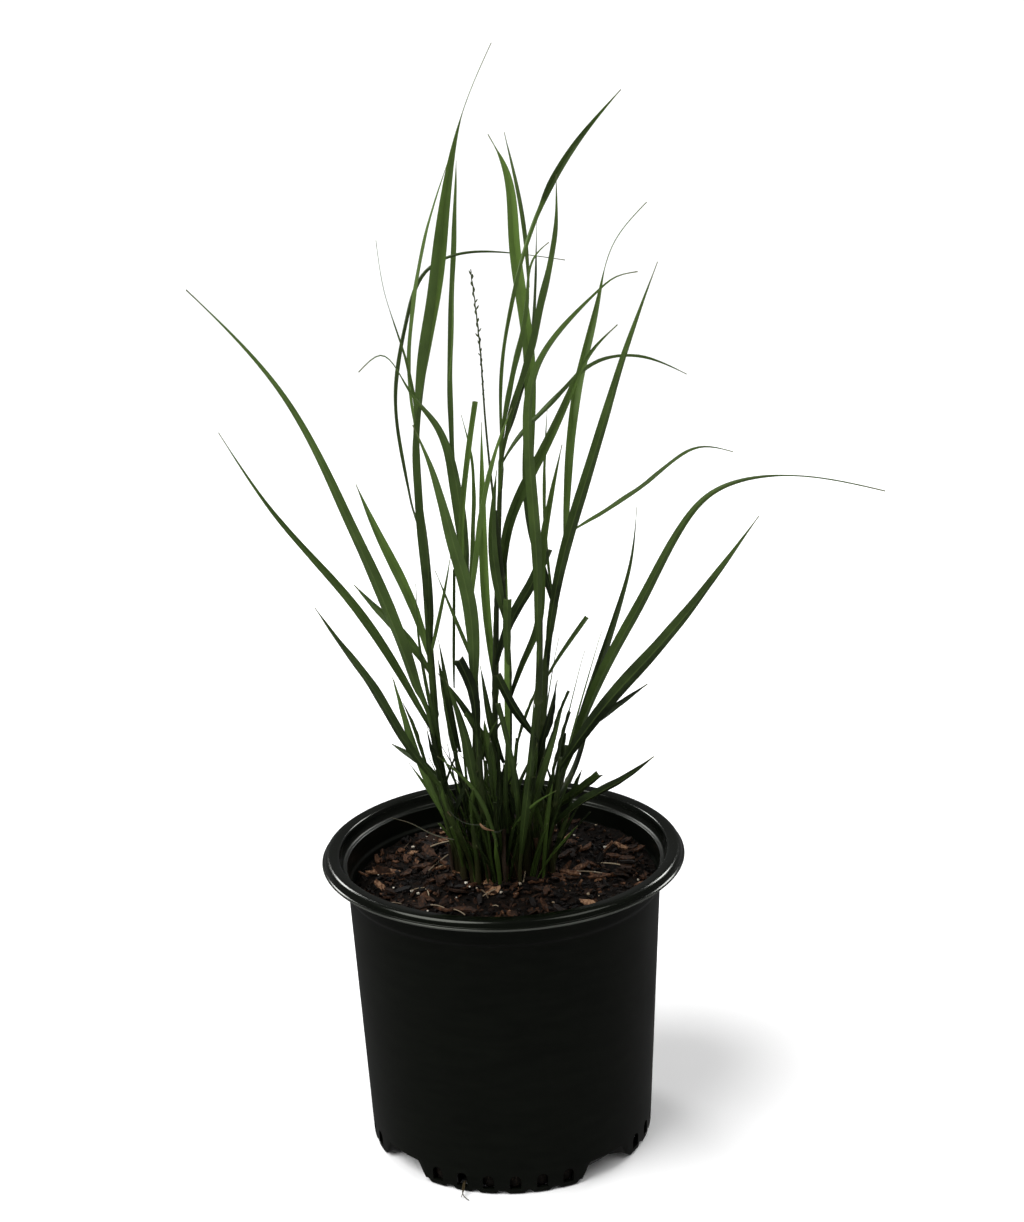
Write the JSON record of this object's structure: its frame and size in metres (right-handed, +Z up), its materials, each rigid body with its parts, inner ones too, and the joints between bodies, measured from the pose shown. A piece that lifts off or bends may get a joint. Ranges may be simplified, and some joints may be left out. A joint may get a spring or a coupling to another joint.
{
  "type": "potted switchgrass",
  "caption": "Young clump of upright grass with long arching blades and one flower spike, growing in a round black nursery pot with a rolled lip and drain slots.",
  "frame": {"origin": "on the pot's vertical axis, on the surface that the pot stands on", "axes": "+Z up along the pot's axis, -Y towards the picture's viewer, +X to the viewer's right"},
  "size_m": [0.3946, 0.2458, 0.687],
  "materials": {
    "pot_plastic": "satin black moulded plastic with a faint green cast",
    "growing_mix": "damp bark-based growing mix, reddish brown chips over dark crumbs",
    "grass_stem": "satin green stems wrapped in ribbed leaf sheaths, straw and brown near the foot",
    "grass_blade": "satin green blades with fine veins along them and a pale midrib",
    "seed_head": "dull green and straw spikelets on a thin stalk"
  },
  "bodies": {
    "root": {"pot": "pot_plastic", "potting_soil": "growing_mix", "flower_spike": "seed_head", "stem_01": "grass_stem", "stem_02": "grass_stem", "stem_03": "grass_stem", "stem_04": "grass_stem", "stem_05": "grass_stem", "stem_06": "grass_stem", "stem_07": "grass_stem", "stem_08": "grass_stem", "stem_09": "grass_stem", "stem_10": "grass_stem", "stem_11": "grass_stem", "stem_12": "grass_stem", "stem_13": "grass_stem", "leaf_01": "grass_blade", "leaf_02": "grass_blade", "leaf_03": "grass_blade", "leaf_04": "grass_blade", "leaf_05": "grass_blade", "leaf_06": "grass_blade", "leaf_07": "grass_blade", "leaf_08": "grass_blade", "leaf_09": "grass_blade", "leaf_10": "grass_blade", "leaf_11": "grass_blade", "leaf_12": "grass_blade", "leaf_13": "grass_blade", "leaf_14": "grass_blade", "leaf_15": "grass_blade", "leaf_16": "grass_blade", "leaf_17": "grass_blade", "leaf_18": "grass_blade", "leaf_19": "grass_blade", "leaf_20": "grass_blade", "leaf_21": "grass_blade", "leaf_22": "grass_blade", "leaf_23": "grass_blade", "leaf_24": "grass_blade", "leaf_25": "grass_blade", "leaf_26": "grass_blade", "leaf_27": "grass_blade", "leaf_28": "grass_blade", "leaf_29": "grass_blade", "leaf_30": "grass_blade", "leaf_31": "grass_blade", "leaf_32": "grass_blade", "leaf_33": "grass_blade", "leaf_34": "grass_blade", "leaf_35": "grass_blade", "leaf_36": "grass_blade", "leaf_37": "grass_blade", "leaf_38": "grass_blade", "leaf_39": "grass_blade", "leaf_40": "grass_blade", "leaf_41": "grass_blade", "leaf_42": "grass_blade", "leaf_43": "grass_blade", "leaf_44": "grass_blade"}
  },
  "joints": []
}
